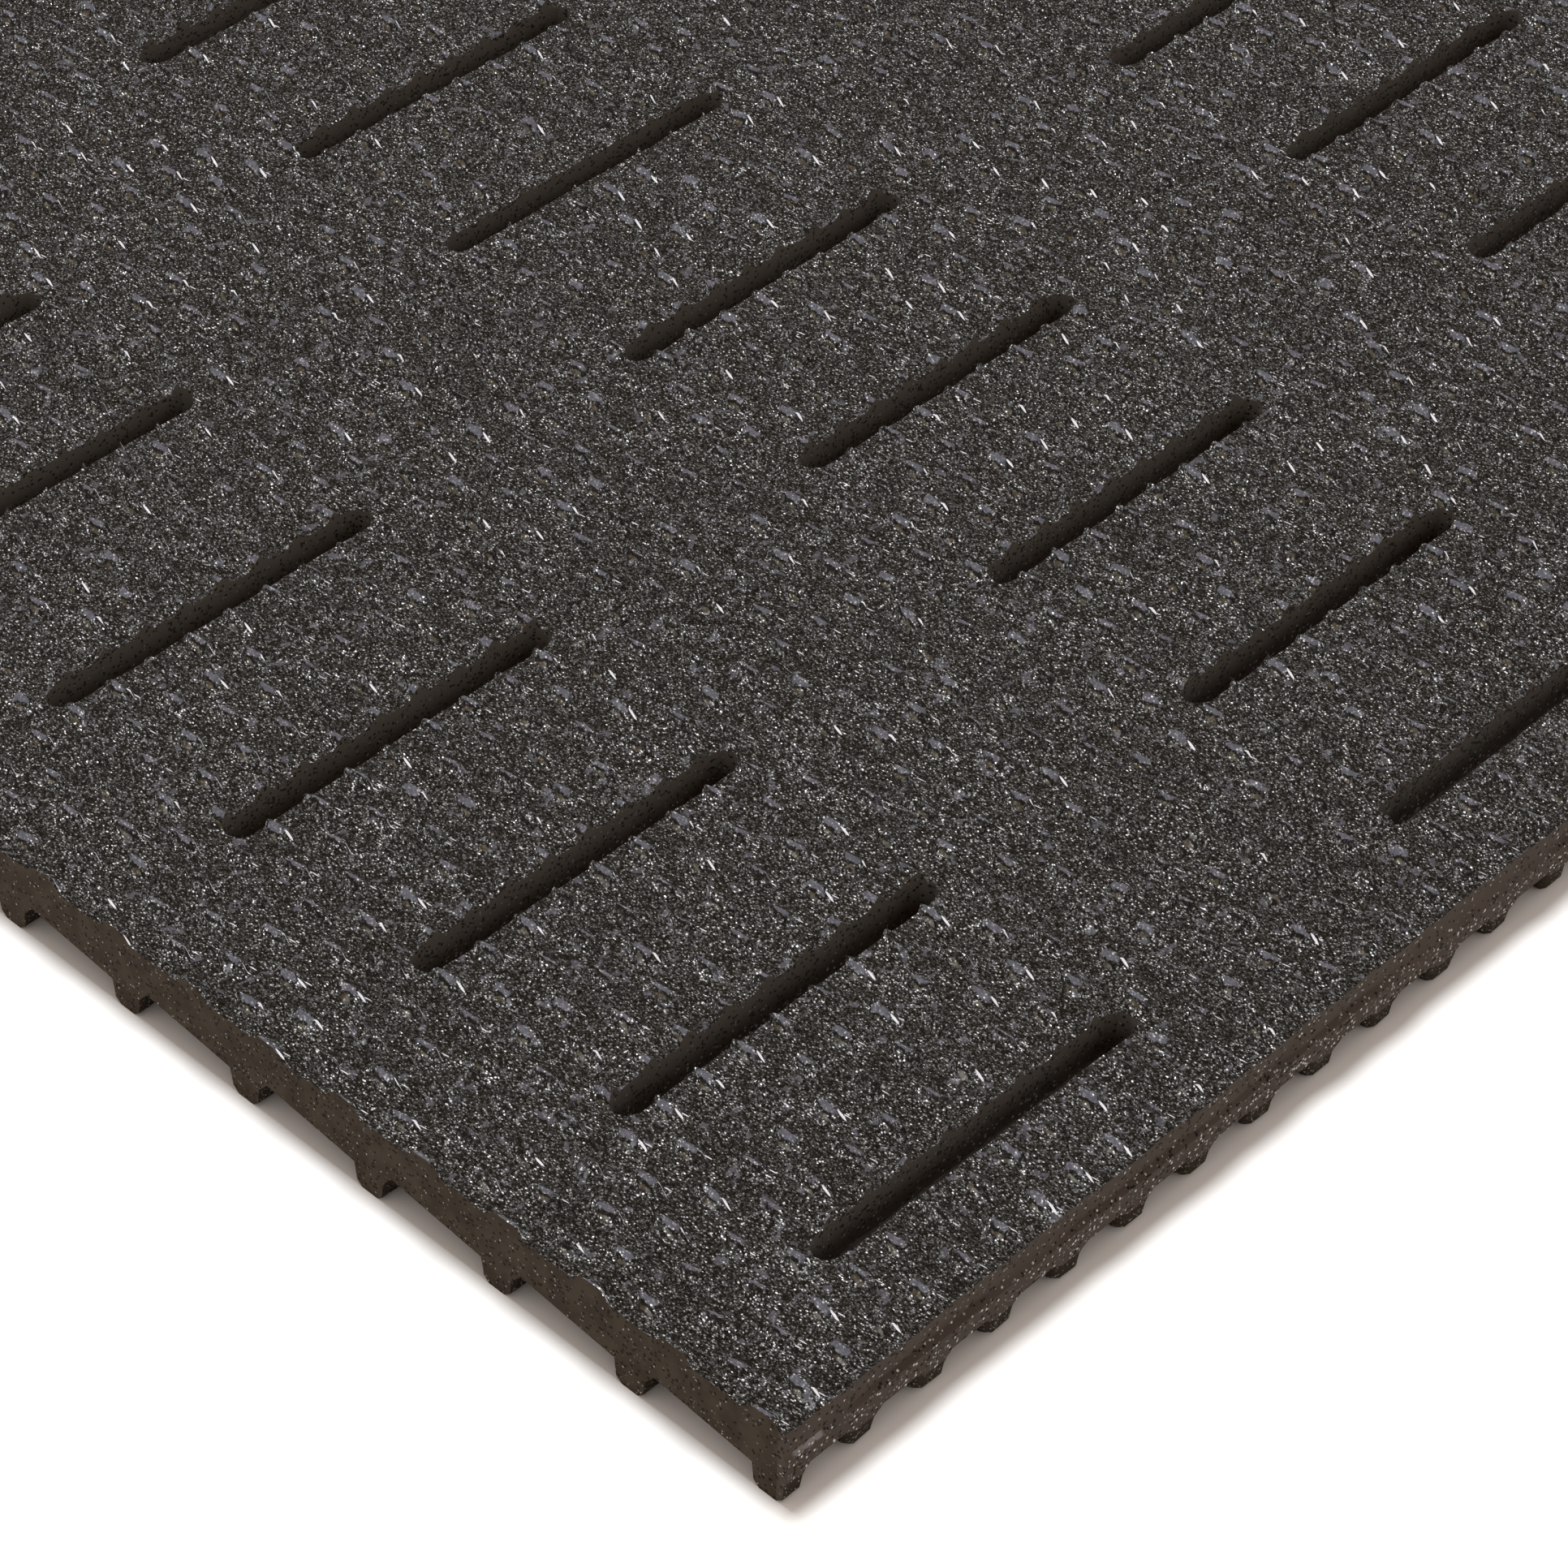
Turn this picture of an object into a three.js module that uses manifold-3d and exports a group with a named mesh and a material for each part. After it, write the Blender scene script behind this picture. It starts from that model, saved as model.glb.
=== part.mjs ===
// Slotted floor mat with an abrasive coat, moulded in one piece.
//
// Millimetres, +Z up. The origin is on the floor under the middle of the mat.
// X runs along the slots and the ribs, Y across them.
// A flat web carries the tread. Under it straight ribs stand on the floor, and
// rows of slots go right through web and ribs, so that water drains off the top.
// The mat is cut from wider stock: the rows of slots and ribs start at fixed
// distances from its near left corner, and the far edges cut them where they fall.
// The slots are punched in blocks of rows, and the first row of each block sits
// a little farther from the near edge than an even spacing would put it.
import * as THREE from "three";
import { mergeGeometries, mergeVertices } from "three/addons/utils/BufferGeometryUtils.js";
import Module from "manifold-3d";

const wasm = await Module();
wasm.setup();

// Driving dimensions
const MAT_X = 610; // width, along the slots
const MAT_Y = 915; // length, across the slots
const THICKNESS = 10; // floor to the tops of the tread
const RIB_HEIGHT = 3.8; // floor to the underside of the web

const RIB_PITCH = 15.9;
const RIB_EDGE = 1.7; // near edge to the middle of the first rib
const RIB_TIP = 2.2; // width on the floor
const RIB_WAIST = 4; // width where the flare towards the web starts
const RIB_ROOT = 6.4; // width at the web
const RIB_FLARE = 1.5; // height of the flare

const SLOT_LENGTH = 40.7;
const SLOT_WIDTH = 3.1;
const SLOT_PITCH_X = 76.2;
const SLOT_PITCH_Y = 24.9;
const SLOT_EDGE_X = 16; // left edge to the end of the first slot
const SLOT_EDGE_Y = 10.75; // near edge to the even place of the first row's middle
const SLOT_EDGE_MIN = 6; // least material between a slot and a far edge
const BLOCK_ROWS = 5; // rows punched at one stroke
const BLOCK_STEP = 1.3; // how far the first row of a block sits from its even place

const BITE = 1; // how far a tool body runs past the face that it joins or cuts

const rubber = new THREE.MeshStandardMaterial({ color: 0x3b3835, roughness: 0.85, metalness: 0 });

// A closed outline in a plane, from pairs of coordinates.
function outline(points) {
  return new THREE.Shape(points.map(([a, b]) => new THREE.Vector2(a, b)));
}

// A prism of an outline that is drawn in X and Y, from z = low to z = high.
function uprightPrism(points, low, high) {
  const geometry = new THREE.ExtrudeGeometry(outline(points), { depth: high - low, bevelEnabled: false });
  return geometry.translate(0, 0, low);
}

// A prism of a section that is drawn in Y and Z, over the whole width of the mat and a bit more.
function lengthwisePrism(points, overrun) {
  const depth = MAT_X + 2 * overrun;
  const geometry = new THREE.ExtrudeGeometry(outline(points), { depth, bevelEnabled: false });
  const toMat = new THREE.Matrix4().makeBasis(
    new THREE.Vector3(0, 1, 0),
    new THREE.Vector3(0, 0, 1),
    new THREE.Vector3(1, 0, 0),
  );
  return geometry.applyMatrix4(toMat).translate(-depth / 2, 0, 0);
}

// A closed geometry as a solid. Several bodies that do not touch may share the geometry.
function solid(geometry) {
  const bare = geometry.clone().deleteAttribute("normal").deleteAttribute("uv");
  const merged = mergeVertices(bare, 1e-4);
  return new wasm.Manifold(
    new wasm.Mesh({
      numProp: 3,
      vertProperties: merged.attributes.position.array,
      triVerts: new Uint32Array(merged.index.array),
    }),
  );
}

// A solid as a geometry with flat faces.
function geometryOf(body) {
  const mesh = body.getMesh();
  const shared = new THREE.BufferGeometry();
  shared.setAttribute("position", new THREE.BufferAttribute(new Float32Array(mesh.vertProperties), 3));
  shared.setIndex(new THREE.BufferAttribute(new Uint32Array(mesh.triVerts), 1));
  const flat = shared.toNonIndexed();
  flat.computeVertexNormals();
  return flat;
}

// The section of one rib, about its middle line, sunk into the web by the bite.
function ribSection(middle) {
  const flareBase = RIB_HEIGHT - RIB_FLARE;
  const rightSide = [
    [RIB_TIP / 2, 0],
    [RIB_WAIST / 2, flareBase],
    [RIB_ROOT / 2, RIB_HEIGHT],
    [RIB_ROOT / 2, RIB_HEIGHT + BITE],
  ];
  const leftSide = rightSide.map(([y, z]) => [-y, z]).reverse();
  return [...rightSide, ...leftSide].map(([y, z]) => [middle + y, z]);
}

// The middle line of each rib that has its whole tip under the mat.
function ribLines() {
  const lines = [];
  const last = MAT_Y / 2 - RIB_TIP / 2;
  for (let y = -MAT_Y / 2 + RIB_EDGE; y <= last; y += RIB_PITCH) lines.push(y);
  return lines;
}

// The outline of one slot: two straight sides, and an end that comes to its tip in two faces.
function slotOutline(start, middle) {
  const half = SLOT_WIDTH / 2;
  const end = start + SLOT_LENGTH;
  return [
    [start, middle],
    [start + half, middle - half],
    [end - half, middle - half],
    [end, middle],
    [end - half, middle + half],
    [start + half, middle + half],
  ];
}

// The middle line of each row of slots, from the near edge on.
function rowLines() {
  const lines = [];
  const last = MAT_Y / 2 - SLOT_EDGE_MIN - SLOT_WIDTH / 2;
  for (let row = 0; ; row += 1) {
    const step = row % BLOCK_ROWS === 0 ? BLOCK_STEP : 0;
    const y = -MAT_Y / 2 + SLOT_EDGE_Y + row * SLOT_PITCH_Y + step;
    if (y > last) return lines;
    lines.push(y);
  }
}

// Where each slot of a row starts.
function slotStarts() {
  const starts = [];
  const last = MAT_X / 2 - SLOT_EDGE_MIN - SLOT_LENGTH;
  for (let x = -MAT_X / 2 + SLOT_EDGE_X; x <= last; x += SLOT_PITCH_X) starts.push(x);
  return starts;
}

// The web with its ribs, trimmed to the mat's own outline.
function ribbedSheet() {
  const halfX = MAT_X / 2;
  const halfY = MAT_Y / 2;
  const rectangle = [
    [-halfX, -halfY],
    [halfX, -halfY],
    [halfX, halfY],
    [-halfX, halfY],
  ];
  const web = solid(uprightPrism(rectangle, RIB_HEIGHT, THICKNESS));
  const ribs = solid(mergeGeometries(ribLines().map((y) => lengthwisePrism(ribSection(y), BITE))));
  const room = solid(uprightPrism(rectangle, 0, THICKNESS));
  return web.add(ribs).intersect(room);
}

// The mat: the ribbed sheet with all its slots cut through.
function matSolid() {
  const outlines = rowLines().flatMap((y) => slotStarts().map((x) => slotOutline(x, y)));
  const cutters = outlines.map((points) => uprightPrism(points, -BITE, THICKNESS + BITE));
  return ribbedSheet().subtract(solid(mergeGeometries(cutters)));
}

const mat = new THREE.Mesh(geometryOf(matSolid()), rubber);
mat.name = "mat";

const group = new THREE.Group();
group.add(mat);

export default group;
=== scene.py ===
# %% [markdown]
# # A slotted floor mat with an abrasive coat
#
# The mat is one moulded sheet of foamed rubber. Its top is embossed with thousands of
# small ticks and covered in grit, rows of slots go right through it, and rows of
# rounded feet carry it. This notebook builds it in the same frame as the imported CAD
# model, so every length below is the real one. Lengths are in mm until a mesh is made.

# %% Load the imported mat
import math

import bmesh
import bpy
import numpy as np
from mathutils import Matrix, Vector


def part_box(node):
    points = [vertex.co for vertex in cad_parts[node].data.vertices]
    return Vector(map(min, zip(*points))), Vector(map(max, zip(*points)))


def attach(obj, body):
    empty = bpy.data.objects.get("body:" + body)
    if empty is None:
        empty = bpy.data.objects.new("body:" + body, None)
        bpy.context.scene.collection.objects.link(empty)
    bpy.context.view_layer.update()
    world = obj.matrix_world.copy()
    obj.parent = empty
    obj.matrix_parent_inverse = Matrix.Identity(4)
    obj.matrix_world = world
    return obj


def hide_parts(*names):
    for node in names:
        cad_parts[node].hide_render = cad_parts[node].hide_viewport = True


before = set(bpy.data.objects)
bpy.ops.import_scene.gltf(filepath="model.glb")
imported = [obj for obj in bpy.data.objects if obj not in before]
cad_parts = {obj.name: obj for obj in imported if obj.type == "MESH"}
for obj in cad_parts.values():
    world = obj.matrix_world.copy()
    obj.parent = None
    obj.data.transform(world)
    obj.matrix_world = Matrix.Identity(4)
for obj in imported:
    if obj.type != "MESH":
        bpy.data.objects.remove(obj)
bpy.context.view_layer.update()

MM = 0.001
LOW, HIGH = (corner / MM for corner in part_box("mat"))
print("the mat runs, in mm, from", tuple(LOW), "to", tuple(HIGH))

# %% [markdown]
# ## The camera
#
# The camera stands close over the near left corner and looks down on it at about
# 42 degrees, with a long lens. It could be placed by eye, but a grid of slots shows
# every slip, so its position and its three axes were solved from the rows of slots.

# %% Place the camera
EYE = Vector((-500.20, -632.01, 315.97))
RIGHT = Vector((0.68940, -0.72391, 0.02611))
DOWN = Vector((-0.47219, -0.47643, -0.74166))
AHEAD = Vector((0.54933, 0.49897, -0.67027))
LENS = 114.16

lens = bpy.data.cameras.new("camera")
lens.lens, lens.sensor_width = LENS, 36
lens.clip_start, lens.clip_end = 0.05, 50
camera = bpy.data.objects.new("camera", lens)
axes = Matrix((RIGHT, -DOWN, -AHEAD)).transposed().to_4x4()
camera.matrix_world = Matrix.Translation(EYE * MM) @ axes
bpy.context.scene.collection.objects.link(camera)
bpy.context.scene.camera = camera
print("the camera looks down at", round(math.degrees(math.asin(-AHEAD.z)), 1), "degrees")

# %% [markdown]
# ## Nodes as sums
#
# Shader and geometry maths reads best as plain formulas. `Value` wraps one output
# socket, and adding, multiplying or comparing it puts the matching Math node into
# the tree. `Tree.add` makes every other node from its type, its settings and the
# values or links of its sockets.


# %% Define the value that can be used in a formula
class Value:
    """An output socket that can be used in a formula."""

    def __init__(self, tree, socket):
        self.tree, self.socket = tree, socket

    def math(self, operation, *others):
        inputs = dict(enumerate((self, *others)))
        return self.tree.add("ShaderNodeMath", {"operation": operation}, inputs)

    def __add__(self, other):
        return self.math("ADD", other)

    def __sub__(self, other):
        return self.math("SUBTRACT", other)

    def __rsub__(self, other):
        return self.tree.add("ShaderNodeMath", {"operation": "SUBTRACT"}, {0: other, 1: self})

    def __mul__(self, other):
        return self.math("MULTIPLY", other)

    def __truediv__(self, other):
        return self.math("DIVIDE", other)

    def __rtruediv__(self, other):
        return self.tree.add("ShaderNodeMath", {"operation": "DIVIDE"}, {0: other, 1: self})

    def __pow__(self, other):
        return self.math("POWER", other)

    def __gt__(self, other):
        return self.math("GREATER_THAN", other)

    def __lt__(self, other):
        return self.math("LESS_THAN", other)

    __radd__, __rmul__ = __add__, __mul__

    def step(self, low, high):
        """0 below low, 1 above high, smooth between. With low over high it falls."""
        settings = {"interpolation_type": "SMOOTHSTEP", "data_type": "FLOAT"}
        inputs = {0: self, 1: low, 2: high, 3: 0.0, 4: 1.0}
        return self.tree.add("ShaderNodeMapRange", settings, inputs)


# %% Define the tree that formulas are built in
class Tree:
    """A node tree that is built line by line."""

    def __init__(self, group):
        self.group = group

    def add(self, kind, settings=None, inputs=None, output=0):
        node = self.group.nodes.new(kind)
        for name, value in (settings or {}).items():
            setattr(node, name, value)
        for key, value in (inputs or {}).items():
            if isinstance(value, Value):
                self.group.links.new(value.socket, node.inputs[key])
            else:
                node.inputs[key].default_value = value
        return Value(self, node.outputs[output]) if len(node.outputs) else node

    def also(self, value, output):
        """Another output of the node that a value comes from."""
        return Value(self, value.socket.node.outputs[output])

    def xyz(self, vector):
        x = self.add("ShaderNodeSeparateXYZ", {}, {0: vector})
        return x, self.also(x, 1), self.also(x, 2)

    def vector(self, x, y, z):
        return self.add("ShaderNodeCombineXYZ", {}, {0: x, 1: y, 2: z})

    def vector_math(self, operation, first, second):
        return self.add("ShaderNodeVectorMath", {"operation": operation}, {0: first, 1: second})

    def blend(self, factor, first, second):
        """Two colours mixed by a factor."""
        settings = {"data_type": "RGBA", "clamp_factor": True}
        return self.add("ShaderNodeMix", settings, {0: factor, 6: first, 7: second}, 2)

    def noise(self, where, size, detail=2.0, output=0):
        """Soft noise whose lumps are about the given size in mm."""
        inputs = {"Vector": where, "Scale": 1 / size, "Detail": detail}
        return self.add("ShaderNodeTexNoise", {}, inputs, output)

    def cells(self, where, size):
        """Grains: the distance to the middle of each, and three random numbers for each."""
        inputs = {"Vector": where, "Scale": 1 / size}
        reach = self.add("ShaderNodeTexVoronoi", {"feature": "F1"}, inputs)
        return reach, *self.xyz(self.also(reach, 1))


# %% [markdown]
# ## The two finishes
#
# The mat shows two finishes: the coat, which is rubber with hard grains pressed into
# it, and the bare rubber that cutting and punching laid open. A tiled picture would
# repeat, so both finishes are worked out from the place on the mat, in mm, and stay
# put in every view. Single grains are colour, gloss and bump, because as mesh there
# would be millions of them. Gloss is the coat layer of the shader, which varies from
# grain to grain; the rubber below it is dull all over.


# %% Define the finish helpers
def colour(red, green, blue):
    return (red, green, blue, 1.0)


def finish(name):
    """A material with an empty tree, and the places on its object in mm."""
    material = bpy.data.materials.new(name)
    material.use_nodes = True
    material.node_tree.nodes.clear()
    tree = Tree(material.node_tree)
    place = tree.add("ShaderNodeTexCoord", {}, {}, "Object")
    place = tree.add("ShaderNodeVectorMath", {"operation": "SCALE"}, {0: place, 3: 1 / MM})
    return material, tree, place


def surface(tree, base, roughness, shine, height, depth, bumpy=1.0):
    """Joins colour, roughness, shine and relief to the shader. The relief is depth mm high."""
    relief = {"Height": height, "Distance": depth * MM, "Strength": bumpy}
    inputs = {
        "Base Color": base, "Roughness": roughness, "Specular IOR Level": 0.02,
        "Coat Weight": shine, "Coat Roughness": 0.28,
        "Normal": tree.add("ShaderNodeBump", {}, relief),
    }
    rubber = tree.add("ShaderNodeBsdfPrincipled", {}, inputs)
    tree.add("ShaderNodeOutputMaterial", {}, {"Surface": rubber})


# Colours that the two finishes share
LOOSE_GRAIN = colour(0.50, 0.49, 0.46)
# near-black painted shade for the dark spots and lines on the ticks
PAINTED_SHADE = colour(0.009, 0.008, 0.007)

# %% [markdown]
# ## The grains of the coat
#
# The grains are about 0.2 mm across and packed side by side. Soft noise would blur
# them, so each grain is a cell of a Voronoi pattern with random numbers of its own.
# Three of them added up and put through an exponential give its brightness: most
# grains are dark and a few are very bright, as in sparkling grit. The cells are drawn
# out a little along the mat.

# %% Make the grains of the coat
GRAIN = 0.17
GRAIN_STRETCH = (1.15, 0.8, 1.0)  # below 1 draws the grains out along that axis
GRAIN_CONTRAST, GRAIN_LIGHT = 1.4, 0.048

coat, tree, place = finish("gritty_coat")
x, y, z = tree.xyz(place)
stretched = tree.vector_math("MULTIPLY", place, GRAIN_STRETCH)
grain, bright, tone, odd = tree.cells(stretched, GRAIN)
dome = grain.step(0.72, 0.25)
spread = (bright + tone + odd - 1.5) * 2.0
grain_light = (spread * GRAIN_CONTRAST).math("EXPONENT") * (dome * 0.75 + 0.25) * GRAIN_LIGHT
spark = (odd > 0.88) * dome
under = z.step(6.0, 5.0)
print("a grain is about", GRAIN, "mm across")

# %% [markdown]
# ## The strokes on each tick
#
# Every tick of the embossing has the same marks: painted light that makes the grit on its
# body lighter, painted shade on the ground around it and on one flank, a smooth crest
# where the coat is worn and which is painted blue-grey as a reflection of the sky, a
# painted shade line beside it, and on some an olive patch or a painted glint. Painting
# thousands of them is out of the question. Instead each point of the tread finds the tick
# that it is on, and its place in that tick's own frame tells which stroke it lies in.
# Random numbers for each tick shift the strokes and leave some out.

# %% Find the tick that a point is on
TICK_X, TICK_Y = 4.85, 4.96
TICK_START_X, TICK_START_Y = LOW.x, LOW.y + 2.8
TICK_SHIFT = 0.6  # how far the strokes of a tick may lie off its middle
EDGE_WOBBLE, WOBBLE_SIZE = 0.6, 0.8  # how ragged the edge of a stroke is

row = ((y - TICK_START_Y) / TICK_Y + 0.5).math("FLOOR")
shift = row.math("FLOORED_MODULO", 2.0) * 0.5
across = (x - TICK_START_X) / TICK_X - shift + 0.5
along = (y - TICK_START_Y) / TICK_Y + 0.5
tick_number = tree.vector(across.math("FLOOR"), row, 0.0)
chance = tree.add("ShaderNodeTexWhiteNoise", {"noise_dimensions": "3D"}, {"Vector": tick_number})
luck, swing, fate = tree.xyz(tree.also(chance, 1))
plain_u = (across.math("FRACT") - 0.5) * TICK_X + (swing - 0.5) * TICK_SHIFT
plain_v = (along.math("FRACT") - 0.5) * TICK_Y + (luck - 0.5) * TICK_SHIFT
wobble_x, wobble_y, _ = tree.xyz(tree.noise(place, WOBBLE_SIZE, 2.0, 1))
u = plain_u + (wobble_x - 0.5) * EDGE_WOBBLE
v = plain_v + (wobble_y - 0.5) * EDGE_WOBBLE
print("ticks are", TICK_X, "by", TICK_Y, "mm apart")


# %% Draw the strokes
def stroke(centre, half, soft=0.25, where=(u, v)):
    """A soft oval in the frame of one tick, in mm."""
    away = ((where[0] - centre[0]) / half[0]) ** 2.0 + ((where[1] - centre[1]) / half[1]) ** 2.0
    return away.step(1.0 + soft, 1.0 - soft)


on_top = z.step(8.0, 8.6)
# painted light: the mask where each tick is lightened
lit_mound = stroke((0.0, 0.1), (1.2, 2.2), 0.9)
crest = stroke((0.0, 0.1), (0.26, 1.05)) * on_top * (fate > 0.3)
olive = stroke((-0.62, -0.25), (0.15, 0.65)) * on_top * (swing > 0.45)
# painted shade: a dark line beside the crest
shaded_groove = stroke((-0.40, -0.1), (0.12, 1.1)) * on_top
# painted shade: a dark spot on the far flank of each tick
shaded_dent = stroke((0.95, 0.3), (0.5, 1.2), 0.6) * on_top
slanted = (plain_u + plain_v * 0.12, plain_v)
# painted highlight: thin bright glint lines on the nose of a tick
glint = stroke((0.05, -1.4), (0.065, 0.48), 0.3, slanted) * on_top * (luck > 0.4)
side_glint = stroke((0.75, -1.45), (0.055, 0.42), 0.3, slanted) * on_top * (fate > 0.7)
glint = glint.math("MAXIMUM", side_glint)
smooth_patch = tree.noise(place, 1.3, 3.0).step(0.62, 0.67)
bare = (crest * 0.9).math("MAXIMUM", smooth_patch * 0.8)
bare = bare.math("MAXIMUM", olive * 0.8).math("MAXIMUM", glint)

# %% Colour the coat
# Painted light and shade: each tick is lighter and the ground between ticks darker.
lightness = grain_light * (0.62 + lit_mound * 0.55)
base = tree.vector(lightness * 0.92 + 0.0060, lightness * 0.94 + 0.0040, lightness * 0.96 + 0.0020)
base = tree.blend(smooth_patch * 0.45, base, colour(0.085, 0.086, 0.105))
# Painted shade on the far flank of each tick.
base = tree.blend(shaded_dent * 0.6, base, PAINTED_SHADE)
# The worn crest is smooth, and its blue-grey is a painted reflection of the sky.
base = tree.blend(crest * 0.6, base, colour(0.095, 0.097, 0.120))
# Painted shade: a dark line beside the crest.
base = tree.blend(shaded_groove * 0.8, base, PAINTED_SHADE)
base = tree.blend(olive * 0.6, base, colour(0.045, 0.034, 0.016))
# Painted highlight: the glints are light colour.
base = tree.blend(glint * 0.9, base, colour(0.62, 0.62, 0.66))
brown_with_specks = tree.blend(spark * tone, colour(0.036, 0.0275, 0.0195), LOOSE_GRAIN)
base = tree.blend(under, base, brown_with_specks)
shine = spark * 0.8 + bare * 0.12
grain_height = dome * (0.5 + tone * 0.5)
surface(tree, base, 0.6 - bare * 0.15, shine, grain_height, depth=0.13, bumpy=1.0 - bare * 0.8)
print("the coat has", len(coat.node_tree.nodes), "nodes")

# %% [markdown]
# ## The bare cut rubber
#
# The outer faces and the slot walls show brown-grey rubber with few grains and small
# pits where grains tore out. The grains crowd low down, the near face is a little
# lighter, and the slot walls are browner, with painted light near their top. The small
# ledge on the near face is glossy and lightened by a painted sheen. Each of these could
# be a material of its own, but the borders would show, so one material fades between
# them by height and by the distance to the outer edges.

# %% Find where the cut faces differ
cut_rubber, tree, place = finish("cut_rubber")
x, y, z = tree.xyz(place)
low_down = z.step(6.5, 2.5)
near = y < LOW.y + 0.9
low_near = near * z.step(6.0, 5.2)
from_side = (x.math("ABSOLUTE") - HIGH.x).math("ABSOLUTE")
from_end = (y.math("ABSOLUTE") - HIGH.y).math("ABSOLUTE")
in_slot = from_side.math("MINIMUM", from_end).step(1.6, 2.0)
# painted light: the slot walls lighten towards their top
painted_slot_light = in_slot * z.step(4.5, 7.5)
from_corner = x - LOW.x
# the small ledge: glossy, and lightened by a painted sheen
ledge_gloss_and_sheen = near * z.step(5.1, 5.3) * z.step(5.9, 5.7) * from_corner.step(0.8, 1.3) * from_corner.step(4.7, 4.2)

# %% Add its grains and pits, and colour it
CUT_GRAIN = 0.30

grain, bright, tone, _ = tree.cells(place, CUT_GRAIN)
speck = grain.step(0.58, 0.34) * (bright + low_down * 0.11 + low_near * 0.15 > 0.92)
pit = grain.step(0.65, 0.4) * (bright < 0.12 + in_slot * 0.06)
cloud = tree.noise(place, 2.5, 3.0).step(0.35, 0.65)
base = tree.blend(cloud, colour(0.0340, 0.0258, 0.0180), colour(0.048, 0.0372, 0.0266))
base = tree.blend(near * 0.6, base, colour(0.066, 0.053, 0.046))
base = tree.blend(in_slot, base, colour(0.036, 0.024, 0.015))
# Painted light near the top of the slot walls.
base = tree.blend(painted_slot_light, base, colour(0.088, 0.081, 0.070))
# Painted sheen: the ledge is lightened.
base = tree.blend(ledge_gloss_and_sheen * cloud, base, colour(0.11, 0.095, 0.092))
base = tree.blend(pit * 0.85, base, colour(0.010, 0.008, 0.007))
base = tree.blend(speck * tone ** 1.6 * (1.0 - in_slot * 0.8), base, LOOSE_GRAIN)
cut_height = speck - pit + cloud * 0.3
surface(tree, base, 0.55, speck * 0.5 + ledge_gloss_and_sheen * 0.6, cut_height, depth=0.09)
print("the cut rubber has", len(cut_rubber.node_tree.nodes), "nodes")

# %% [markdown]
# ## The tread
#
# Each tick of the embossing is a small ridge on a patch of flat ground. A displacement
# map would need millions of faces to give the ridges an edge, so the tick is drawn
# once, with few faces. The patches are laid like bricks, each row half a patch over,
# and share the points on their edges, so merging by distance welds them into one
# sheet. Geometry Nodes lay the patch on computed points, weld the sheet, and then let
# it wander a little by smooth noise so that no two ticks are alike.

# %% Draw one tick on its patch
GROUND, CREST = 8.45, 9.65

half_x, half_y = TICK_X / 2, TICK_Y / 2
edge_points = [
    (-half_x, -half_y), (0, -half_y), (half_x, -half_y),
    (half_x, half_y), (0, half_y), (-half_x, half_y),
]
foot_points = [(0.05, -2.3), (1.3, 0.1), (-0.05, 2.35), (-1.15, -0.1)]
crest_points = [(0.12, -1.25, CREST), (0.0, 1.3, CREST - 0.2)]
tick_points = [(a, b, GROUND) for a, b in edge_points + foot_points] + crest_points
tick_faces = [
    (0, 1, 6), (1, 2, 6), (2, 7, 6), (2, 3, 7), (3, 8, 7),
    (3, 4, 8), (4, 5, 8), (5, 9, 8), (5, 0, 9), (0, 6, 9),
    (6, 7, 10), (7, 11, 10), (7, 8, 11), (8, 9, 11), (9, 10, 11), (9, 6, 10),
]


def add_object(name, mesh):
    thing = bpy.data.objects.new(name, mesh)
    bpy.context.scene.collection.objects.link(thing)
    return thing


def solid(name, points, faces):
    """An object from points in mm and the faces between them."""
    mesh = bpy.data.meshes.new(name)
    mesh.from_pydata([Vector(p) * MM for p in points], [], faces)
    return add_object(name, mesh)


tick = solid("tick", tick_points, tick_faces)
print("one tick has", len(tick_faces), "triangles")

# %% Build the tree that repeats a pattern over a field
FIELD_INPUTS = {
    "Pattern": "Object", "Columns": "Int", "Rows": "Int", "First Row": "Int",
    "Start X": "Float", "Start Y": "Float", "Pitch X": "Float", "Pitch Y": "Float",
    "Stagger": "Float", "Block": "Int", "Block Step": "Float",
    "Wander": "Vector", "Lump": "Float", "Coat": "Material",
}


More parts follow.
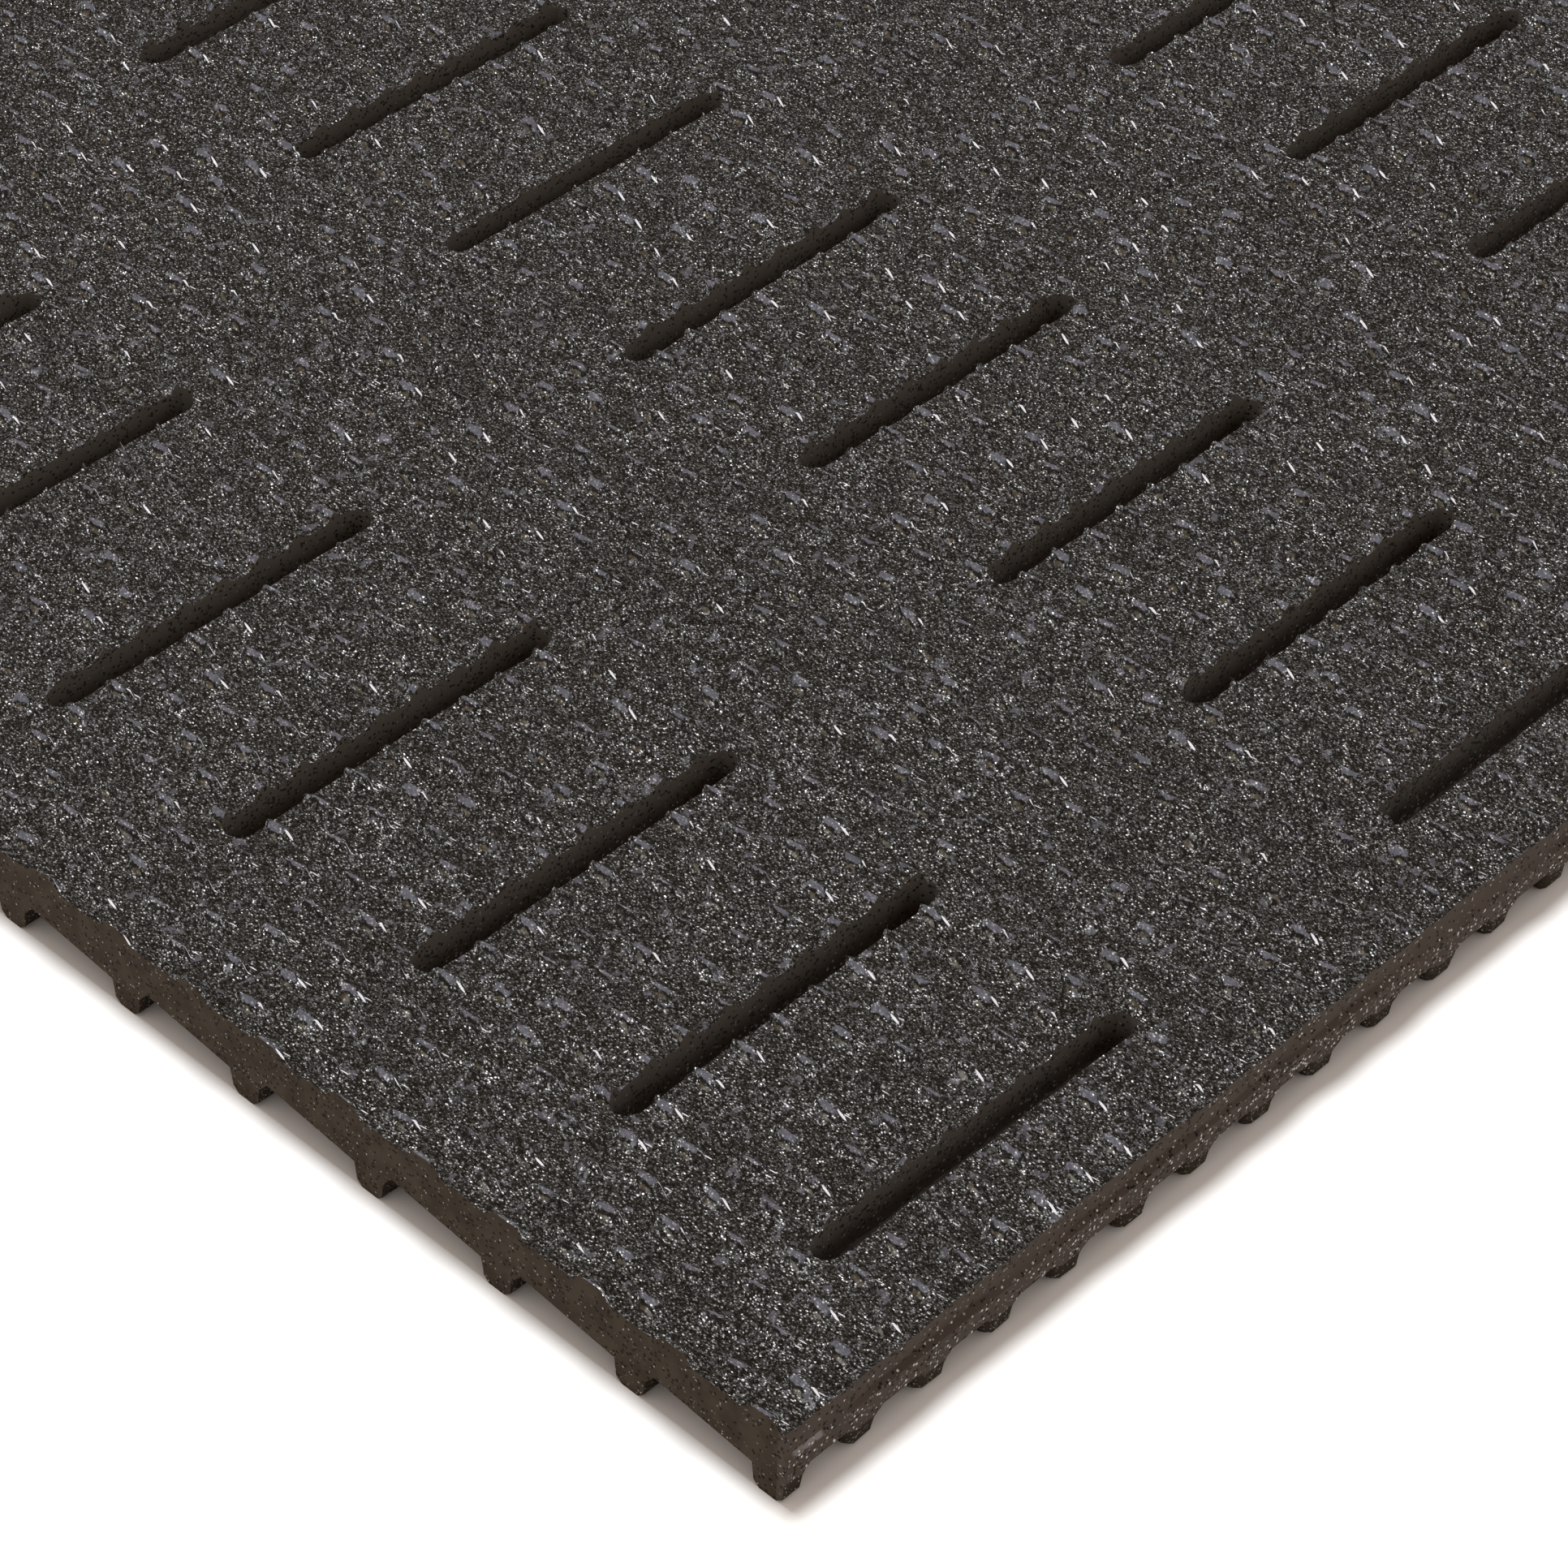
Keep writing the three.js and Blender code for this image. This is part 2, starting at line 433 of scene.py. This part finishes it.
def field_tree(name):
    """Lays a pattern on a field of points, welds it and lets it wander."""
    group = bpy.data.node_groups.new(name, "GeometryNodeTree")
    for label, kind in FIELD_INPUTS.items():
        group.interface.new_socket(label, in_out="INPUT", socket_type="NodeSocket" + kind)
    group.interface.new_socket("Mesh", in_out="OUTPUT", socket_type="NodeSocketGeometry")
    tree = Tree(group)
    first = tree.add("NodeGroupInput")
    given = {label: tree.also(first, i) for i, label in enumerate(FIELD_INPUTS)}

    index = tree.add("GeometryNodeInputIndex")
    column = index.math("FLOORED_MODULO", given["Columns"])
    row = (index / given["Columns"] + 0.001).math("FLOOR") + given["First Row"]
    odd_row = row.math("FLOORED_MODULO", 2.0)
    opens_block = row.math("FLOORED_MODULO", given["Block"]) < 0.5
    x = given["Start X"] + (column + odd_row * given["Stagger"]) * given["Pitch X"]
    y = given["Start Y"] + row * given["Pitch Y"] + opens_block * given["Block Step"]
    spots = {"Count": given["Columns"] * given["Rows"], "Position": tree.vector(x, y, 0.0)}
    points = tree.add("GeometryNodePoints", {}, spots)
    shape = tree.add("GeometryNodeObjectInfo", {}, {"Object": given["Pattern"]}, "Geometry")
    copies = tree.add("GeometryNodeInstanceOnPoints", {}, {"Points": points, "Instance": shape})
    real = tree.add("GeometryNodeRealizeInstances", {}, {0: copies})
    sheet = tree.add("GeometryNodeMergeByDistance", {}, {"Geometry": real, "Distance": 0.01 * MM})

    where = tree.add("GeometryNodeInputPosition")
    lump = {"Vector": where, "Scale": 1 / given["Lump"], "Detail": 1.0}
    push = tree.vector_math("SUBTRACT", tree.add("ShaderNodeTexNoise", {}, lump, 1), (0.5, 0.5, 0.5))
    push = tree.vector_math("MULTIPLY", push, given["Wander"])
    moved = tree.add("GeometryNodeSetPosition", {}, {"Geometry": sheet, "Offset": push})
    done = tree.add("GeometryNodeSetMaterial", {}, {"Geometry": moved, "Material": given["Coat"]})
    tree.add("NodeGroupOutput", {}, {0: done})
    return group


repeat = field_tree("repeat_over_a_field")
print("the field tree has", len(repeat.nodes), "nodes")


# %% Define how a field is run and closed
def run_field(name, **given):
    """A new mesh from the tree, with its inputs given by name."""
    holder = add_object(name, bpy.data.meshes.new(name))
    modifier = holder.modifiers.new("field", "NODES")
    modifier.node_group = repeat
    for item in repeat.interface.items_tree:
        if item.in_out == "INPUT":
            modifier[item.identifier] = given[item.name.replace(" ", "_")]
    holder.update_tag()
    bpy.context.view_layer.update()
    seen = holder.evaluated_get(bpy.context.evaluated_depsgraph_get())
    mesh = bpy.data.meshes.new_from_object(seen)
    bpy.data.objects.remove(holder)
    return mesh


def close_sheet(mesh, level):
    """Turns an open sheet into a solid, by walls down or up to a level in mm and a lid there."""
    bm = bmesh.new()
    bm.from_mesh(mesh)
    rim = [edge for edge in bm.edges if edge.is_boundary]
    walls = bmesh.ops.extrude_edge_only(bm, edges=rim)["geom"]
    for vert in walls:
        if isinstance(vert, bmesh.types.BMVert):
            vert.co.z = level * MM
    new_rim = [edge for edge in walls if isinstance(edge, bmesh.types.BMEdge)]
    bmesh.ops.contextual_create(bm, geom=new_rim)
    bmesh.ops.recalc_face_normals(bm, faces=bm.faces)
    bm.to_mesh(mesh)
    bm.free()
    return mesh


# %% [markdown]
# ## The underside
#
# The feet are rounded knobs in straight rows. Between two knobs of a row runs a lower
# ridge, and between the rows the web is flat. Separate balls on a flat web would leave
# hard seams, so one knob with its share of ridge and web is a single grid of a few
# dozen faces, drawn as sections across the row, and the same tree lays it out.

# %% Draw one knob on its patch
RIB_EDGE, RIB_PITCH = 1.9, 15.9
KNOB_PITCH, KNOB_START = 8.62, 0.95
WEB = 3.8

# Each section runs across the row, from one web to the next: (distance, height)
patch_start, patch_end = (-2.9, WEB), (RIB_PITCH - 2.9, WEB)
ridge = [(-1.8, 3.1), (-1.2, 2.85), (-0.6, 2.8), (0.6, 2.8), (1.3, 2.85), (2.0, 3.05)]
lobe = [(-1.75, 2.7), (-1.3, 1.2), (-0.8, 0.6), (0.8, 0.6), (1.4, 1.2), (1.9, 2.8)]
tip = [(-1.8, 2.4), (-1.6, 0.6), (-0.9, 0.0), (0.9, 0.0), (1.6, 0.6), (1.9, 2.6)]
stations = [
    (-2.2, ridge), (-1.8, lobe), (-1.1, tip), (1.1, tip), (1.8, lobe),
    (2.2, ridge), (KNOB_PITCH - 2.2, ridge),
]
knob_points = [
    (a, b, c) for a, section in stations for b, c in (patch_start, *section, patch_end)
]
wide = len(ridge) + 2
knob_faces = [
    (i * wide + j, i * wide + j + 1, (i + 1) * wide + j + 1, (i + 1) * wide + j)
    for i in range(len(stations) - 1)
    for j in range(wide - 1)
]
knob = solid("knob", knob_points, knob_faces)
print("one knob has", len(knob_faces), "faces")

# %% [markdown]
# ## The slots
#
# The slots are punched, and their walls are ragged because grains tear out with the
# punch. A wall could be dented by a displacement, but that thins nothing and misses
# the ticks. So the punch itself is ragged: a prism with round ends, laid out by the
# same tree, five rows to a block, and wandering by fine noise before it cuts.

# %% Draw one punch
SLOT_LENGTH, SLOT_WIDTH = 40.7, 3.1
SLOT_PITCH_X, SLOT_PITCH_Y = 76.2, 24.9
SLOT_EDGE_X, SLOT_EDGE_Y = 16.0, 10.75
BLOCK_ROWS, BLOCK_STEP = 5, 1.3
SLOT_COLUMNS, SLOT_ROWS = 8, 37
BELOW, ABOVE = -1.0, 11.0  # every tool runs 1 mm past the mat


def punch_shape(side_steps=14, round_steps=4, levels=(BELOW, 5.0, 8.0, ABOVE)):
    """The points and faces of a prism with round ends, in rings at the given levels."""
    radius = SLOT_WIDTH / 2
    straight = SLOT_LENGTH - 2 * radius
    ring = [(radius + straight * i / side_steps, -radius) for i in range(side_steps)]
    turn = [math.pi * (i / round_steps - 0.5) for i in range(round_steps)]
    ring += [(SLOT_LENGTH - radius + radius * math.cos(a), radius * math.sin(a)) for a in turn]
    ring += [(SLOT_LENGTH - a, -b) for a, b in ring]
    size = len(ring)
    points = [(a, b, level) for level in levels for a, b in ring]
    faces = [
        (k * size + i, k * size + (i + 1) % size, (k + 1) * size + (i + 1) % size, (k + 1) * size + i)
        for k in range(len(levels) - 1)
        for i in range(size)
    ]
    faces += [tuple(range(size))[::-1], tuple((len(levels) - 1) * size + i for i in range(size))]
    return points, faces


punch = solid("punch", *punch_shape())
print("one punch has", len(punch.data.polygons), "faces")

# %% [markdown]
# ## Where the bands meet
#
# In one piece the mat would have too many triangles to handle, so it is made in bands
# along its length. Even cuts would go through ticks and slots and show, so the bands
# meet on flat ground between two rows of ticks, clear of the slots.

# %% Choose where the bands meet
BANDS = 6
SLOT_CLEARANCE = 4

slot_lines = [
    LOW.y + SLOT_EDGE_Y + row * SLOT_PITCH_Y + (BLOCK_STEP if row % BLOCK_ROWS == 0 else 0)
    for row in range(SLOT_ROWS)
]


def band_edges():
    tick_rows = int((HIGH.y - LOW.y) / TICK_Y)
    seams = [TICK_START_Y + (row + 0.5) * TICK_Y for row in range(tick_rows)]
    clear = [s for s in seams if min(abs(s - line) for line in slot_lines) > SLOT_CLEARANCE]
    even = [LOW.y + (HIGH.y - LOW.y) * i / BANDS for i in range(1, BANDS)]
    return [LOW.y] + [min(clear, key=lambda s: abs(s - y)) for y in even] + [HIGH.y]


edges = band_edges()
print("bands meet at", [round(e, 2) for e in edges])

# %% [markdown]
# ## The fields of a band
#
# A band needs three fields from the tree: its tread, its feet and its punches. Rows
# are counted from the near edge of the whole mat, and the noise reads the place on
# it, so that neighbouring bands fit along their seam.


# %% Define the fields of a band
def rows_between(low_y, high_y, start, pitch, spare):
    """The first row and the number of rows that cover a stretch, with some to spare."""
    return dict(
        First_Row=math.floor((low_y - start) / pitch) - 1,
        Rows=math.ceil((high_y - low_y) / pitch) + spare,
        Start_Y=start * MM, Pitch_Y=pitch * MM, Block=1000000, Block_Step=0.0,
    )


def tread_field(name, low_y, high_y):
    return run_field(
        name, Pattern=tick, Coat=coat, **rows_between(low_y, high_y, TICK_START_Y, TICK_Y, 4),
        Columns=math.ceil((HIGH.x - LOW.x) / TICK_X) + 3, Stagger=0.5,
        Start_X=(TICK_START_X - TICK_X) * MM, Pitch_X=TICK_X * MM,
        Wander=(0.9 * MM, 0.9 * MM, 0.7 * MM), Lump=6 * MM,
    )


def feet_field(name, low_y, high_y):
    return run_field(
        name, Pattern=knob, Coat=coat, **rows_between(low_y, high_y, LOW.y + RIB_EDGE, RIB_PITCH, 3),
        Columns=math.ceil((HIGH.x - LOW.x) / KNOB_PITCH) + 2, Stagger=0.0,
        Start_X=(LOW.x + KNOB_START - KNOB_PITCH) * MM, Pitch_X=KNOB_PITCH * MM,
        Wander=(0.5 * MM, 0.5 * MM, 0.0), Lump=5 * MM,
    )


def punch_field(name, low_y, high_y):
    rows = [i for i, line in enumerate(slot_lines) if low_y < line < high_y]
    return run_field(
        name, Pattern=punch, Coat=cut_rubber, First_Row=rows[0], Rows=len(rows),
        Columns=SLOT_COLUMNS, Stagger=0.0, Block=BLOCK_ROWS, Block_Step=BLOCK_STEP * MM,
        Start_X=(LOW.x + SLOT_EDGE_X) * MM, Pitch_X=SLOT_PITCH_X * MM,
        Start_Y=(LOW.y + SLOT_EDGE_Y) * MM, Pitch_Y=SLOT_PITCH_Y * MM,
        Wander=(0.5 * MM, 0.6 * MM, 0.0), Lump=3.0 * MM,
    )


# %% [markdown]
# ## The cutting tools
#
# The mat was cut from wider stock. A plain box trims a band to size. On the near face
# the knife slipped a little above the feet and left a small sloping ledge there, with
# uneven rubber over it. Noise on the face would tear its border with the tread, so a
# second tool with a wavy flank pares the face back above the ledge. Both carry the cut
# rubber, and a face that a tool cuts takes the tool's material.

# %% Define the cutting tools
PARING_STEP = 4.3  # how far apart the waves of the pared face are
PARING_WAVE = 0.45
LEDGE_LOW, LEDGE_HIGH = 5.3, 5.75


def trimming_box(name, low, high):
    (x0, y0, z0), (x1, y1, z1) = low, high
    points = [(a, b, c) for c in (z0, z1) for a, b in ((x0, y0), (x1, y0), (x1, y1), (x0, y1))]
    faces = [(3, 2, 1, 0), (4, 5, 6, 7), (0, 1, 5, 4), (1, 2, 6, 5), (2, 3, 7, 6), (3, 0, 4, 7)]
    box = solid(name, points, faces)
    box.data.materials.append(cut_rubber)
    return box


def near_trim(name):
    """Pares the near face back by uneven amounts above a small sloping ledge."""
    section = [(-1.0, LEDGE_LOW), (0.0, LEDGE_LOW), (0.2, LEDGE_HIGH), (0.12, 7.5), (0.1, ABOVE), (-1.0, ABOVE)]
    first, last = LOW.x - 2, HIGH.x + 2
    count = round((last - first) / PARING_STEP)
    random = np.random.default_rng(11)
    points = []
    for i in range(count + 1):
        for depth, level in section:
            uneven = random.uniform(0.0, PARING_WAVE) if depth > 0 else 0.0
            points.append((first + (last - first) * i / count, LOW.y + depth + uneven, level))
    size = len(section)
    faces = [tuple(range(size))[::-1], tuple(count * size + k for k in range(size))]
    for i in range(count):
        for k in range(size):
            a, b = i * size + k, i * size + (k + 1) % size
            faces.append((a, b, b + size, a + size))
    knife = solid(name, points, faces)
    knife.data.materials.append(cut_rubber)
    return knife


def carve(body, steps):
    """Runs the boolean steps on a body and gives the new mesh."""
    for i, (operation, other) in enumerate(steps):
        cut = body.modifiers.new(f"step_{i}", "BOOLEAN")
        cut.operation, cut.object, cut.solver = operation, other, "MANIFOLD"
        cut.material_mode = "TRANSFER"
    bpy.context.view_layer.update()
    seen = body.evaluated_get(bpy.context.evaluated_depsgraph_get())
    mesh = bpy.data.meshes.new_from_object(seen)
    for thing in [body] + [other for _, other in steps]:
        bpy.data.objects.remove(thing)
    return mesh


# %% [markdown]
# ## Finishing a band
#
# The coated rubber is soft and rounded, while a knife leaves crisp edges. A bevel on
# every edge would cost too many faces, so the band is shaded smooth and only the edges
# of the cut faces are kept sharp. They are picked for the whole band at once with
# arrays, because a loop over all edges would be slow.

# %% Define the finishing of a band
CRISP_ANGLE = 35
COAT_SLOT, CUT_SLOT = 0, 1


def read(items, field, kind, width=1):
    """One property of all faces or corners of a mesh, as an array."""
    values = np.empty(len(items) * width, kind)
    items.foreach_get(field, values)
    return values.reshape(-1, width) if width > 1 else values


def sort_finishes(mesh):
    """Leaves two material slots, coat and cut."""
    is_cut = read(mesh.polygons, "material_index", np.int32) == mesh.materials.find("cut_rubber")
    mesh.materials.clear()
    mesh.materials.append(coat)
    mesh.materials.append(cut_rubber)
    mesh.polygons.foreach_set("material_index", np.where(is_cut, CUT_SLOT, COAT_SLOT).astype(np.int32))


def crease(mesh):
    """Shades smooth, but keeps an edge sharp where coat meets cut or two cut faces meet at an angle."""
    corner_edge = read(mesh.loops, "edge_index", np.int32)
    which = read(mesh.polygons, "material_index", np.int32)
    normals = read(mesh.polygons, "normal", np.float32, 3)
    sizes = read(mesh.polygons, "loop_total", np.int32)
    corner_face = np.repeat(np.arange(len(mesh.polygons)), sizes)
    order = np.argsort(corner_edge, kind="stable")
    first, second = corner_face[order[0::2]], corner_face[order[1::2]]
    turned = (normals[first] * normals[second]).sum(1) < math.cos(math.radians(CRISP_ANGLE))
    cut_pair = (which[first] == CUT_SLOT) | (which[second] == CUT_SLOT)
    flags = np.zeros(len(mesh.edges), bool)
    flags[corner_edge[order[0::2]]] = (which[first] != which[second]) | (turned & cut_pair)
    mesh.shade_smooth()
    attribute = mesh.attributes.get("sharp_edge") or mesh.attributes.new("sharp_edge", "BOOLEAN", "EDGE")
    attribute.data.foreach_set("value", flags)


# %% [markdown]
# ## The bands
#
# Each band is a solid: its tread is closed down to 6 mm and its underside up to 7 mm,
# so that the two overlap and join. The join is trimmed by the box, punched, and on the
# first band pared. Building the walls face by face would be long and would not follow
# the ticks; the boolean tools find the ragged borders by themselves.

# %% Make the bands
TREAD_FLOOR, FEET_LID = 6.0, 7.0


def make_band(number):
    low_y, high_y = edges[number], edges[number + 1]
    name = f"mat_band_{number + 1}"
    tread = close_sheet(tread_field(name + "_tread", low_y, high_y), TREAD_FLOOR)
    feet = close_sheet(feet_field(name + "_under", low_y, high_y), FEET_LID)
    punches = punch_field(name + "_slots", low_y, high_y)
    steps = [
        ("UNION", add_object(name + "_base", feet)),
        ("INTERSECT", trimming_box(name + "_room", (LOW.x, low_y, BELOW), (HIGH.x, high_y, ABOVE))),
        ("DIFFERENCE", add_object(name + "_punches", punches)),
    ]
    if number == 0:
        steps.append(("DIFFERENCE", near_trim(name + "_trim")))
    mesh = carve(add_object(name + "_body", tread), steps)
    sort_finishes(mesh)
    crease(mesh)
    mesh.name = name
    return add_object(name, mesh)


bands = [make_band(number) for number in range(BANDS)]
for band in bands:
    band.data.calc_loop_triangles()
    print(band.name, "has", len(band.data.loop_triangles), "triangles")
print("in all", sum(len(band.data.loop_triangles) for band in bands), "triangles")

# %% Remove the patterns and join the bands to the frame
for thing in (tick, knob, punch):
    bpy.data.objects.remove(thing)
for band in bands:
    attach(band, "root")
    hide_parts("mat")

# %% [markdown]
# ## Floor and light
#
# The mat lies on a plain white floor in a bright studio. Its shadow is soft, short and
# a little warm, and away from it the floor burns out to pure white. Many lamps would
# give many shadows, so there is one round soft lamp, almost straight over the near
# corner and slightly behind it, and a bright warm world that fills the shadows.

# %% Lay the floor
FLOOR_REACH = 9.0  # in metres, past everything that the camera can see

corners = [(-1, -1), (1, -1), (1, 1), (-1, 1)]
floor_mesh = bpy.data.meshes.new("floor")
floor_mesh.from_pydata([(a * FLOOR_REACH, b * FLOOR_REACH, 0) for a, b in corners], [], [(0, 1, 2, 3)])
floor = add_object("floor", floor_mesh)
white, tree, _ = finish("white_floor")
paint = tree.add("ShaderNodeBsdfPrincipled", {}, {"Base Color": colour(0.74, 0.74, 0.74), "Roughness": 0.8})
tree.add("ShaderNodeOutputMaterial", {}, {"Surface": paint})
floor_mesh.materials.append(white)
print("the floor is", 2 * FLOOR_REACH, "m across")

# %% Set the lamp and the world
LAMP_PLACE, LAMP_TARGET = Vector((-0.15, 0.02, 1.9)), Vector((-0.2, -0.35, 0.0))
LAMP_SIZE, LAMP_POWER = 0.5, 41

light = bpy.data.lights.new("high_softbox", "AREA")
light.shape, light.size, light.energy, light.color = "DISK", LAMP_SIZE, LAMP_POWER, (0.97, 0.99, 1.0)
lamp = add_object("high_softbox", light)
lamp.location = LAMP_PLACE
lamp.rotation_euler = (LAMP_TARGET - LAMP_PLACE).to_track_quat("-Z", "Y").to_euler()

world = bpy.data.worlds.new("studio")
world.use_nodes = True
sky = world.node_tree.nodes["Background"]
sky.inputs["Color"].default_value = colour(1.0, 0.87, 0.78)
sky.inputs["Strength"].default_value = 0.80
bpy.context.scene.world = world
bpy.context.scene.view_settings.view_transform = "Standard"
bpy.context.scene.view_settings.look = "None"
print("the lamp hangs", round(LAMP_PLACE.z, 2), "m up")
